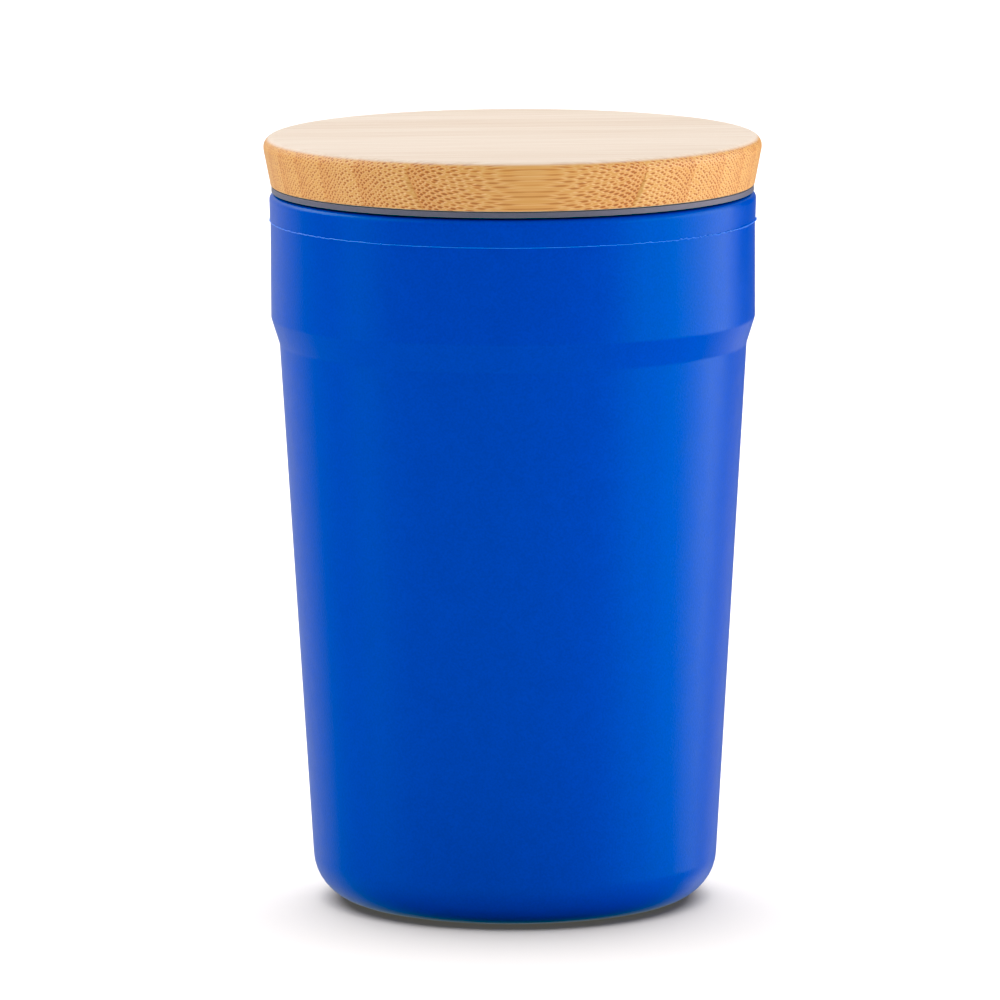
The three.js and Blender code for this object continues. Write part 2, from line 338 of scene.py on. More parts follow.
@dataclass(frozen=True)
class Bamboo(Finish):
    """Bare sanded bamboo, glued up from strips whose fibres run along X before the turn."""

    pitch: float
    offset: float
    turn: float
    ground: Colour = (0.695, 0.37, 0.095)
    tan: Colour = (0.60, 0.275, 0.042)
    ring: Colour = (0.58, 0.175, 0.003)
    core: Colour = (0.34, 0.080, 0.002)
    fleck: Colour = (0.95, 0.77, 0.44)
    face: Colour = (0.81, 0.685, 0.572)
    face_line: Colour = (0.62, 0.44, 0.30)
    rows_per_strip: float = 11.4
    crowding: float = 0.35
    row_height: float = 0.57
    disorder: float = 0.45
    hair_strength: float = 0.4
    ring_strength: float = 0.78
    fleck_strength: float = 0.5
    core_strength: float = 0.9
    line_strength: float = 0.65
    glue_strength: float = 0.25
    relief_depth: float = 0.02 * MM

    def _bundles(self, tree: Tree, along: Value, across: Value, height: Value,
                 number: Value, share: Value) -> tuple[Value, Value, Value, Value]:
        """The fibre bundles that are cut across on the strips' ends.

        Args:
            tree: The material's tree.
            along: Place along the fibres.
            across: Place across the strips.
            height: Place up.
            number: The strip's number.
            share: Place within the strip, 0 at its front and 1 at its back.

        Returns:
            Masks of dark cores, of the rings round them, of pale halos round those and of
            pale flecks beside them.
        """
        # Bundles crowd together towards the side of a strip that was the outside of the culm.
        crowded = share * (1 - self.crowding) + share * share * self.crowding
        wander = tree.cloud(tree.join(along * 0.012, across * 0.16, number * 3.1), 1.0, 2.0)
        column = crowded * self.rows_per_strip + number * 7.3 + wander * 1.6
        row = height / self.row_height + wander * 3.0 + number * 2.7 - share * share * 0.8
        diagonal = (column + row) * math.sqrt(0.5)
        other = (column - row) * math.sqrt(0.5)
        distance, size = tree.cells(diagonal, other, self.disorder)
        beyond = distance - (0.13 + 0.10 * size + 0.08 * share)
        core = 1 - beyond.step(-0.10, 0.08)
        ring = 1 - beyond.step(0.0, 0.22)
        halo = beyond.step(0.06, 0.2) * (1 - beyond.step(0.2, 0.42))
        beside, _ = tree.cells(diagonal + 0.3, other + 0.02, self.disorder)
        fleck = 1 - beside.step(0.05, 0.2)
        return core * (0.6 + 0.4 * size), ring, halo, fleck

    def material(self) -> Material:
        """The finish as a material."""
        tree = self.tree()
        along, across, height = tree.split(tree.millimetres(self.turn))
        strip = (across - self.offset) / self.pitch
        number = strip.floor()
        share = strip.fraction()
        luck = tree.chance(number)
        normal = tree.split(tree.node("ShaderNodeNewGeometry").outputs["Normal"])
        # A bundle that is cut lengthways shows less than one that is cut across.
        endways = abs(normal[0] * math.cos(self.turn) + normal[1] * math.sin(self.turn))
        shown = endways.step(-0.1, 0.42) * 0.75 + 0.25
        core, ring, halo, fleck = (
            mask * shown
            for mask in self._bundles(tree, along, across, height, number, share))
        hair = tree.cloud(tree.join(along * 0.03, across * 4.0, height * 4.0), 1.0, 3.0, 0.65)
        patch = tree.cloud(tree.join(along * 0.05, across * 0.3, height * 0.3), 1.0, 2.0)
        cut_end = tree.blend(luck * 0.5 + patch * 0.5, self.ground, self.tan)
        for strength, tint in (
                (hair.step(0.35, 0.75) * self.hair_strength, self.tan),
                (halo * (0.05 + 0.3 * luck), self.fleck),
                (ring * self.ring_strength + share * share * 0.26, self.ring),
                (fleck * self.fleck_strength, self.fleck),
                (core * self.core_strength, self.core)):
            cut_end = tree.blend(strength, cut_end, tint)
        lines = hair.step(0.4, 0.62) * self.line_strength * (0.6 + 0.4 * luck)
        long_face = tree.blend(lines, self.face, self.face_line)
        long_face = tree.blend(luck * 0.18, long_face, self.face_line)
        level = abs(normal[2]).step(0.62, 0.93)
        colour = tree.blend(level, cut_end, long_face)
        edge = (0.5 - abs(share - 0.5)) * self.pitch
        glue = 1 - edge.step(0.02, 0.10)
        colour = tree.blend(glue * self.glue_strength, colour, self.ring)
        relief = hair * 0.5 + (1 - core) * 0.5
        return tree.finish(
            Base_Color=colour,
            Roughness=0.46 + 0.12 * hair + 0.08 * core,
            Specular_IOR_Level=0.6,
            Normal=tree.bump(relief, self.relief_depth))


@dataclass(frozen=True)
class Silicone(Finish):
    """Soft translucent rubber with a slight bloom."""

    colour: Colour
    roughness: float = 0.42
    glow: float = 0.35
    glow_depth: float = 2.5 * MM

    def material(self) -> Material:
        """The finish as a material."""
        tree = self.tree()
        place = tree.millimetres()
        bloom = tree.cloud(place, 0.22, 3.0)
        fine = tree.cloud(place, 3.5, 2.0)
        dusty = toned(self.colour, 0.97)
        return tree.finish(
            Base_Color=tree.blend(bloom.step(0.35, 0.7), dusty, self.colour),
            Roughness=self.roughness + 0.12 * bloom,
            Subsurface_Weight=self.glow,
            Subsurface_Scale=self.glow_depth,
            Subsurface_Radius=(1.0, 0.95, 0.9),
            Normal=tree.bump(fine, 0.004 * MM))


@dataclass(frozen=True)
class Steel(Finish):
    """Bright turned stainless steel."""

    colour: Colour = (0.62, 0.62, 0.64)

    def material(self) -> Material:
        """The finish as a material."""
        tree = self.tree()
        marks = tree.cloud(tree.millimetres(), 4.0, 3.0)
        return tree.finish(
            Base_Color=tree.blend(marks.step(0.3, 0.7), toned(self.colour, 0.8), self.colour),
            Metallic=1.0,
            Roughness=0.2 + 0.15 * marks,
            Normal=tree.bump(marks, 0.004 * MM))


# -------- mesh helpers


@dataclass
class Outline:
    """Half section of a turned piece as (radius, height, rounding) corners, in metres."""

    corners: list[Corner]
    closed: bool = False
    round_steps: int = 6

    def _tangent(self, index: int) -> float:
        """Length along both sides of a corner that its rounding takes.

        Args:
            index: The corner's number.

        Returns:
            The length in metres.
        """
        here, before, after = (
            Vector(self.corners[i % len(self.corners)][:2])
            for i in (index, index - 1, index + 1))
        angle = (before - here).angle(after - here)
        return self.corners[index][2] / math.tan(angle / 2)

    def turned(self, steps: int = 256, start: float = 0.0) -> Shape:
        """Spins the outline once round Z.

        Args:
            steps: Facets in the turn.
            start: Angle of the first section, in radians.

        Returns:
            The closed mesh.
        """
        shape = bmesh.new()
        points = [shape.verts.new((radius, 0.0, height)) for radius, height, _ in self.corners]
        pairs = list(zip(points, points[1:]))
        if self.closed:
            pairs.append((points[-1], points[0]))
        for pair in pairs:
            shape.edges.new(pair)
        for index, point in enumerate(points):
            if self.corners[index][2] > 0:
                bmesh.ops.bevel(
                    shape, geom=[point], offset=self._tangent(index), offset_type="OFFSET",
                    affect="VERTICES", segments=self.round_steps, profile=0.5, material=-1)
        bmesh.ops.rotate(
            shape, verts=shape.verts[:], cent=CENTRE, matrix=Matrix.Rotation(start, 3, "Z"))
        bmesh.ops.spin(
            shape, geom=shape.verts[:] + shape.edges[:], cent=CENTRE, axis=UP,
            angle=FULL_TURN, steps=steps, use_merge=True)
        heal(shape)
        return shape


def heal(shape: Shape) -> None:
    """Welds doubles of a closed shape and turns its faces outwards."""
    bmesh.ops.remove_doubles(shape, verts=shape.verts[:], dist=SAME_PLACE)
    bmesh.ops.recalc_face_normals(shape, faces=shape.faces[:])


def placed(name: str, data: bpy.types.ID) -> bpy.types.Object:
    """Puts new data into the scene.

    Args:
        name: The object's name.
        data: Its mesh, light or camera.

    Returns:
        The object.
    """
    made = bpy.data.objects.new(name, data)
    bpy.context.scene.collection.objects.link(made)
    return made


def mesh_of(shape: Shape, name: str) -> bpy.types.Mesh:
    """Makes mesh data of a shape.

    Args:
        shape: The shape, which is freed.
        name: The mesh's name.

    Returns:
        The mesh.
    """
    data = bpy.data.meshes.new(name)
    shape.to_mesh(data)
    shape.free()
    return data


def weighted(piece: bpy.types.Object) -> bpy.types.Object:
    """Lets broad faces set the shading, so that small roundings stay crisp."""
    modifier = piece.modifiers.new("even_shading", "WEIGHTED_NORMAL")
    modifier.keep_sharp = True
    return piece


def finished(shape: Shape, name: str, material: Material, body: Body,
             nodes: tuple[str, ...] = ()) -> bpy.types.Object:
    """Makes a piece of a mesh and hangs it on its body.

    Args:
        shape: The mesh, which is freed.
        name: The piece's name.
        material: Its finish.
        body: The body that it rides on.
        nodes: The solids that it stands for.

    Returns:
        The piece.
    """
    for face in shape.faces:
        face.smooth = True
    data = mesh_of(shape, name)
    data.set_sharp_from_angle(angle=SHARP_ANGLE)
    data.materials.append(material)
    piece = placed(name, data)
    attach(piece, body.value)
    if nodes:
        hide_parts(*nodes)
    LOG.info("%s: %d faces on %s", name, len(data.polygons), body.value)
    return piece


def drilled(piece: bpy.types.Object, places: list[tuple[float, float]], radius: float,
            low: float, high: float) -> bpy.types.Object:
    """Cuts straight holes along Z.

    Args:
        piece: The piece.
        places: (x, y) of each hole.
        radius: The holes' radius.
        low: Height where they start.
        high: Height where they end.

    Returns:
        The piece, cut.
    """
    bits = bmesh.new()
    for x, y in places:
        bmesh.ops.create_cone(
            bits, cap_ends=True, segments=32, radius1=radius, radius2=radius, depth=high - low,
            matrix=Matrix.Translation((x, y, (low + high) / 2)))
    return carved(piece, bits)


def carved(piece: bpy.types.Object, cutter: Shape) -> bpy.types.Object:
    """Takes a closed shape out of a piece.

    Args:
        piece: The piece.
        cutter: What is taken out, which is freed.

    Returns:
        The piece, cut.
    """
    tool = placed("cutter", mesh_of(cutter, "cutter"))
    modifier = piece.modifiers.new("cut", "BOOLEAN")
    modifier.operation = "DIFFERENCE"
    modifier.solver = "EXACT"
    modifier.object = tool
    graph = bpy.context.evaluated_depsgraph_get()
    cut = bpy.data.meshes.new_from_object(piece.evaluated_get(graph))
    piece.modifiers.clear()
    piece.data = cut
    bpy.data.objects.remove(tool)
    return piece


# -------- the cup


@dataclass
class CupSizes:
    """Sizes that the cup's pieces share, in metres; heights come from the frame."""

    rim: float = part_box("inner_liner")[1].z
    seam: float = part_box("outer_shell")[1].z
    band_radius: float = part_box("outer_shell")[1].x
    rim_radius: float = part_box("inner_liner")[1].x
    collar_proud: float = 0.08 * MM
    band_depth: float = 21.2 * MM
    shoulder_depth: float = 4.5 * MM
    shoulder_step: float = 1.42 * MM
    body_taper: float = 5.7 * MM
    base_corner: float = 8.1 * MM
    mouth_inset: float = 5.12 * MM
    ledge_under_shoulder: float = 1.5 * MM
    ledge_width: float = 2.8 * MM
    liner_taper: float = 4.0 * MM
    liner_floor: float = 7.0 * MM

    @property
    def shoulder_top(self) -> float:
        """Height of the shoulder's upper edge."""
        return self.rim - self.band_depth

    @property
    def shoulder_foot(self) -> float:
        """Height of the shoulder's lower edge."""
        return self.shoulder_top - self.shoulder_depth

    @property
    def body_radius(self) -> float:
        """Radius under the shoulder."""
        return self.band_radius - self.shoulder_step

    @property
    def mouth_radius(self) -> float:
        """Radius of the bore that the lid plugs into."""
        return self.band_radius - self.mouth_inset

    @property
    def ledge(self) -> float:
        """Height of the ledge that the sleeve hangs on."""
        return self.shoulder_top - self.ledge_under_shoulder

    @property
    def ledge_radius(self) -> float:
        """Bore under the ledge."""
        return self.mouth_radius - self.ledge_width

    def liner_radius(self, height: float) -> float:
        """Inner radius of the liner at a height under its ledge."""
        share = (height - self.liner_floor) / (self.ledge - self.liner_floor)
        return self.ledge_radius - self.liner_taper * (1 - share)


@dataclass
class OuterShell:
    """The outer moulding: band, shoulder, tapered body and foot ring."""

    sizes: CupSizes
    wall: float = 1.7 * MM
    floor: float = 3.2 * MM
    ring_width: float = 5.0 * MM
    recess: float = 1.0 * MM
    gate_radius: float = 1.6 * MM
    gate_height: float = 0.5 * MM

    def outline(self) -> Outline:
        """Half section of the moulding."""
        s = self.sizes
        foot = s.body_radius - s.body_taper
        ring = foot - s.base_corner
        inside = foot - self.wall + s.body_taper * self.floor / s.shoulder_foot
        gate = self.recess - self.gate_height
        return Outline([
            (0, gate, 0), (self.gate_radius, gate, 0.2 * MM),
            (self.gate_radius, self.recess, 0.2 * MM),
            (ring - self.ring_width - self.recess, self.recess, 0.5 * MM),
            (ring - self.ring_width, 0, 0.4 * MM), (foot, 0, s.base_corner),
            (s.body_radius, s.shoulder_foot, 2.2 * MM),
            (s.band_radius, s.shoulder_top, 1.6 * MM),
            (s.band_radius, s.seam, 0.06 * MM),
            (s.band_radius - self.wall, s.seam, 0),
            (s.band_radius - self.wall, s.shoulder_top, 1 * MM),
            (s.body_radius - self.wall, s.shoulder_foot, 1 * MM),
            (inside, self.floor, s.base_corner - self.wall), (0, self.floor, 0)],
            round_steps=10)

    def build(self, material: Material) -> None:
        """Builds the piece."""
        shape = self.outline().turned(288)
        weighted(finished(shape, "cup_shell", material, Body.CUP, ("outer_shell",)))


@dataclass
class InnerLiner:
    """The liner with its rim and the collar that is welded to the shell."""

    sizes: CupSizes
    wall: float = 1.5 * MM
    rim_thickness: float = 2.0 * MM
    collar_wall: float = 1.8 * MM
    corner: float = 6.0 * MM

    def outline(self) -> Outline:
        """Half section of the moulding."""
        s = self.sizes
        foot = s.liner_floor - self.wall
        collar = s.band_radius + s.collar_proud
        return Outline([
            (0, foot, 0),
            (s.liner_radius(foot) + self.wall, foot, self.corner + self.wall),
            (s.ledge_radius + self.wall, s.ledge - self.wall, 0.4 * MM),
            (s.mouth_radius + self.wall, s.ledge - self.wall, 0.8 * MM),
            (s.mouth_radius + self.wall, s.rim - self.rim_thickness, 0.5 * MM),
            (collar - self.collar_wall, s.rim - self.rim_thickness, 0.3 * MM),
            (collar - self.collar_wall, s.seam, 0), (collar, s.seam, 0.08 * MM),
            (s.rim_radius, s.rim, 1.1 * MM),
            (s.mouth_radius, s.rim, 0.6 * MM),
            (s.mouth_radius, s.ledge, 0.3 * MM), (s.ledge_radius, s.ledge, 0.4 * MM),
            (s.liner_radius(s.liner_floor), s.liner_floor, self.corner),
            (0, s.liner_floor, 0)],
            round_steps=8)

    def build(self, material: Material) -> None:
        """Builds the piece."""
        shape = self.outline().turned(288)
        weighted(finished(shape, "cup_liner", material, Body.CUP, ("inner_liner",)))


@dataclass
class WeldFlash:
    """Thin ragged plastic that the weld between liner and shell pressed out."""

    sizes: CupSizes
    thickness: float = 0.17 * MM
    root: float = 0.4 * MM
    proud: float = 0.02 * MM
    reach: float = 0.15 * MM
    wander: float = 0.24 * MM
    notch: float = 0.55 * MM
    torn_from: float = 0.42
    steps: int = 1440

    def _shape(self, around: Vector) -> tuple[float, float]:
        """How far the flash stands out and how far it strays up or down.

        Args:
            around: Direction from the axis.

        Returns:
            Reach and height in metres.
        """
        def ripple(scale: float, level: float) -> float:
            """Noise round the seam."""
            return noise.noise(Vector((around.x * scale, around.y * scale, level)))

        # The flash is strongest between the front and the sides, and stronger on the right.
        angle = math.atan2(around.x, -around.y)
        amount = (0.5 - 0.46 * math.cos(2.7 * angle)) * (0.8 + 0.2 * math.sin(angle))
        slow, ragged, tooth = ripple(6, 4.3), ripple(45, 1.7), ripple(160, 8.1)
        torn = max(0.0, ripple(22, 2.9) - self.torn_from)
        reach = max(0.0, amount * (0.5 + 2.6 * slow + 2.4 * ragged + 1.4 * tooth))
        height = amount * (0.4 * slow + 1.0 * ragged + 0.7 * tooth)
        return self.reach * reach, self.wander * height - self.notch * amount * torn

    def build(self, material: Material) -> None:
        """Builds the piece.

        Args:
            material: Its finish.
        """
        s = self.sizes
        inner = s.band_radius - self.root
        outer = s.band_radius + self.proud
        half = self.thickness / 2
        ring = Outline([
            (inner, s.seam - half, 0), (outer, s.seam - half, 0),
            (outer + half, s.seam, 0), (outer, s.seam + half, 0),
            (inner, s.seam + half, 0)], closed=True)
        shape = ring.turned(self.steps)
        for point in shape.verts:
            flat = Vector((point.co.x, point.co.y, 0))
            if flat.length > inner + half:
                reach, height = self._shape(flat.normalized())
                point.co += flat.normalized() * reach + Vector((0, 0, height))
        finished(shape, "weld_flash", material, Body.CUP)


# -------- the brush sleeve


@dataclass
class BrushSleeve:
    """The silicone sleeve: a flanged wall moulded in one with its bristles."""

    sizes: CupSizes
    foot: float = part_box("brush_sleeve")[0].z
    gap: float = 0.4 * MM
    wall: float = 1.6 * MM
    flange: float = 2.0 * MM
    bristle_length: float = 12.0 * MM
    bristle_width: float = 3.2 * MM
    bristle_tip: float = 0.42
    nub_length: float = 3.2 * MM
    nub_tip: float = 0.3
    rows: int = 7
    per_row: int = 12
    margin: float = 7.0 * MM
    hem: float = 3.0 * MM
    bead: float = 0.5 * MM

    def _outer(self, height: float) -> float:
        """Outer radius of the wall."""
        return self.sizes.liner_radius(height) - self.gap

    def _inner(self, height: float) -> float:
        """Inner radius of the wall."""
        return self._outer(height) - self.wall

    def _heights(self) -> list[float]:
        """Levels of the bristle rows, from below."""
        pitch = (self.sizes.ledge - self.foot - 2 * self.margin) / (self.rows - 1)
        return [self.foot + self.margin + row * pitch for row in range(self.rows)]

    def outline(self) -> Outline:
        """Half section, with a ring on the inside above and below each row."""
        s = self.sizes
        half = self.bristle_width / 2
        top = s.ledge + self.flange
        flange = s.mouth_radius - self.gap
        rings = [
            (self._inner(z), z, 0.0) for height in reversed(self._heights())
            for z in (height + half, height - half)]
        wall = [
            (self._outer(self.foot), self.foot, 0.4 * MM),
            (self._outer(self.foot), self.foot + self.hem, 0),
            (self._outer(s.ledge - self.hem), s.ledge - self.hem, 0),
            (self._outer(s.ledge), s.ledge, 0.3 * MM)]
        return Outline([
            (self._inner(self.foot), self.foot, 0.4 * MM), *wall,
            (flange, s.ledge, self.bead), (flange, top, self.bead),
            (self._inner(s.ledge), top, self.bead), *rings], closed=True, round_steps=2)

    def _raise(self, shape: Shape, root: bmesh.types.BMFace, length: float,
               tip: float) -> None:
        """Grows one bristle from a face of the inner wall.

        Args:
            shape: The sleeve's mesh.
            root: The face.
            length: How far the bristle reaches.
            tip: Width of the tip as a share of the root.
        """
        centre = root.calc_center_median()
        inward = Vector((-centre.x, -centre.y, 0)).normalized()
        done, width = 0.0, 1.0
        # Fillet, neck, tip and rounded end, as shares of the length and of the root's width.
        for share, wanted in ((0.0, 0.86), (0.07, 0.66), (0.9, tip), (1.0, tip * 0.55)):
            root = bmesh.ops.extrude_discrete_faces(shape, faces=[root])["faces"][0]
            bmesh.ops.translate(shape, verts=root.verts[:], vec=inward * length * (share - done))
            middle = root.calc_center_median()
            bmesh.ops.scale(
                shape, verts=root.verts[:], vec=(wanted / width,) * 3,
                space=Matrix.Translation(-middle))
            done, width = share, wanted

    def build(self, material: Material) -> None:
        """Builds the piece.

        Args:
            material: Its finish.
        """
        columns = 4 * self.per_row
        shape = self.outline().turned(columns, start=-FULL_TURN / columns / 2)
        levels = self._heights()
        middles = [(low + high) / 2 for low, high in zip(levels, levels[1:])]
        wanted: list[tuple[bmesh.types.BMFace, float, float]] = []
        for face in shape.faces:
            centre = face.calc_center_median()
            if face.normal.dot(Vector((centre.x, centre.y, 0))) > 0:
                continue
            column = round(math.atan2(centre.y, centre.x) / FULL_TURN * columns) % columns
            for row, height in enumerate(levels):
                if abs(centre.z - height) < self.bead and column % 4 == 2 * (row % 2):
                    wanted.append((face, self.bristle_length, self.bristle_tip))
            for height in middles:
                if abs(centre.z - height) < self.bead and column % 2 == 1:
                    wanted.append((face, self.nub_length, self.nub_tip))
        for face, length, tip in wanted:
            self._raise(shape, face, length, tip)
        bmesh.ops.recalc_face_normals(shape, faces=shape.faces[:])
        piece = finished(
            shape, "silicone_sleeve", material, Body.SLEEVE, ("brush_sleeve",))
        modifier = piece.modifiers.new("soft", "SUBSURF")
        modifier.levels = 2
        modifier.render_levels = 2


# -------- the lid


@dataclass
class LidSizes:
    """Sizes that the lid's pieces share, in metres; heights come from the frame."""

    cup: CupSizes
    flange: float = 1.1 * MM
    board_foot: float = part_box("lid_plug")[1].z
    board_top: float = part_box("lid_strip_07")[1].z
    skirt_foot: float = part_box("lid_plug")[0].z
    board_radius: float = 42.5 * MM
    board_foot_radius: float = 41.05 * MM
    plug_clearance: float = 2.4 * MM
    plug_wall: float = 3.2 * MM
    web: float = 2.4 * MM
    screw_inset: float = 6.2 * MM
    groove_depth: float = 1.3 * MM
    groove_height: float = 5.0 * MM
    strip_pitch: float = 6.15 * MM
    strip_offset: float = -0.35 * MM
    thinnest_strip: float = 1.0 * MM
    turn: float = math.radians(3.7)

    @property
    def flange_foot(self) -> float:
        """Underside of the plug's flange."""
        return self.board_foot - self.flange

    @property
    def skirt_radius(self) -> float:
        """Outside of the plug's skirt."""
        return self.cup.mouth_radius - self.plug_clearance

    @property
    def groove_middle(self) -> float:
        """Height of the seal's middle."""
        return (self.flange_foot + self.skirt_foot) / 2

    def spans(self) -> list[tuple[float, float]]:
        """Front and back edge of each strip, from the front."""
        count = math.ceil(self.board_radius / self.strip_pitch)
        edges = [self.strip_offset + i * self.strip_pitch for i in range(-count, count + 1)]
        limit = self.board_radius - self.thinnest_strip
        edges = [-self.board_radius, *(e for e in edges if abs(e) < limit), self.board_radius]
        return list(zip(edges, edges[1:]))

    def screw_places(self) -> list[tuple[float, float]]:
        """(x, y) of each screw, after the lid's turn."""
        circle = self.skirt_radius - self.plug_wall - self.screw_inset
        middles = [(low + high) / 2 for low, high in self.spans()]
        places = []
        for wanted in (-circle * math.sqrt(0.5), circle * math.sqrt(0.5)):
            y = min(middles, key=lambda middle: abs(middle - wanted))
            x = math.sqrt(circle ** 2 - y ** 2)
            places += [(-x, y), (x, y)]
        turn = Matrix.Rotation(self.turn, 2)
        return [tuple(turn @ Vector(place)) for place in places]


@dataclass
class BambooBoard:
    """The board, glued up from strips and turned to a disc."""

    sizes: LidSizes
    top_round: float = 1.9 * MM
    foot_round: float = 0.3 * MM
    drill_radius: float = 1.8 * MM
    drill_depth: float = 5.8 * MM
    overshoot: float = 1.12

    def _blank(self) -> Shape:
        """The whole disc."""
        s = self.sizes
        # The rounding takes away the flare's last part.
        flare = (s.board_radius - s.board_foot_radius) * self.overshoot
        return Outline([
            (0, s.board_foot, 0), (s.board_foot_radius, s.board_foot, self.foot_round),
            (s.board_foot_radius + flare, s.board_top, self.top_round),
            (0, s.board_top, 0)], round_steps=8).turned(360)

    def _strip(self, blank: Shape, low: float, high: float) -> Shape:
        """Saws one strip out of the disc.

        Args:
            blank: The whole disc.
            low: Its front edge.
            high: Its back edge.

        Returns:
            The strip's mesh.
        """
        shape = blank.copy()
        across = Matrix.Rotation(self.sizes.turn, 3, "Z") @ Vector((0, 1, 0))
        for place, outwards in ((low, -across), (high, across)):
            if abs(place) < self.sizes.board_radius:
                bmesh.ops.bisect_plane(
                    shape, geom=shape.verts[:] + shape.edges[:] + shape.faces[:],
                    dist=0.0002 * MM, plane_co=across * place, plane_no=outwards,
                    clear_outer=True)
                rim = [edge for edge in shape.edges if edge.is_boundary]
                bmesh.ops.edgeloop_fill(shape, edges=rim)
        heal(shape)
        return shape

    def build(self, material: Material) -> None:
        """Builds the pieces.

        Args:
            material: Their finish.
        """
        foot = self.sizes.board_foot
        across = Matrix.Rotation(-self.sizes.turn, 2)
        blank = self._blank()
        for number, (low, high) in enumerate(self.sizes.spans(), 1):
            strip = finished(
                self._strip(blank, low, high), f"bamboo_strip_{number:02d}", material, Body.LID,
                (f"lid_strip_{number:02d}",))
            holes = [
                place for place in self.sizes.screw_places()
                if low < (across @ Vector(place)).y < high]
            if holes:
                drilled(strip, holes, self.drill_radius, foot - MM, foot + self.drill_depth)
            weighted(strip)


@dataclass
class LidPlug:
    """The grey plug under the board, with the groove for the seal."""

    sizes: LidSizes
    hole_radius: float = 1.8 * MM
    glue_line: float = 0.12 * MM
    flange_inset: float = 0.1 * MM
    groove_round: float = 0.15 * MM

    def outline(self) -> Outline:
        """Half section of the moulding."""
        s = self.sizes
        web_foot = s.board_foot - s.web
        inside = s.skirt_radius - s.plug_wall
        groove = s.skirt_radius - s.groove_depth
        low = s.groove_middle - s.groove_height / 2
        high = s.groove_middle + s.groove_height / 2
        flange = s.board_foot_radius - self.flange_inset
        top = s.board_foot - self.glue_line
        soft = 0.3 * MM
        return Outline([
            (0, web_foot, 0), (inside, web_foot, 1 * MM), (inside, s.skirt_foot, soft),
            (s.skirt_radius, s.skirt_foot, soft), (s.skirt_radius, low, self.groove_round),
            (groove, low, self.groove_round), (groove, high, self.groove_round),
            (s.skirt_radius, high, self.groove_round), (s.skirt_radius, s.flange_foot, 0.4 * MM),
            (flange, s.flange_foot, 0.15 * MM), (flange, top, 0.12 * MM), (0, top, 0)])

    def build(self, material: Material) -> None:
        """Builds the piece.

        Args:
            material: Its finish.
        """
        s = self.sizes
        piece = finished(
            self.outline().turned(256), "plug", material, Body.LID, ("lid_plug",))
        drilled(piece, s.screw_places(), self.hole_radius, s.board_foot - s.web - MM,
                s.board_foot + MM)
        weighted(piece)


@dataclass
class LidSeal:
    """The silicone ring with two lips."""

    sizes: LidSizes
    gap: float = 0.3 * MM
    lip_gap: float = 0.35 * MM
    lip: float = 0.9 * MM

    def build(self, material: Material) -> None:
        """Builds the piece.

        Args:
            material: Its finish.
        """
        s = self.sizes
        middle = s.groove_middle
        half = s.groove_height / 2 - self.gap
        inner = s.skirt_radius - s.groove_depth + self.gap
        body = s.skirt_radius + self.gap / 2
        tip = s.cup.mouth_radius - self.lip_gap
        soft = 0.2 * MM
        corners = [(inner, middle - half, soft), (body, middle - half, soft)]
        for level in (middle - half / 2, middle + half / 2):
            corners += [
                (body, level - self.lip / 2, soft), (tip, level, 0.15 * MM),
                (tip, level + self.lip / 2, soft), (body, level + self.lip / 2, soft)]
        corners += [(body, middle + half, soft), (inner, middle + half, soft)]
        shape = Outline(corners, closed=True, round_steps=4).turned(240)
        weighted(finished(shape, "seal_ring", material, Body.LID, ("lid_seal",)))


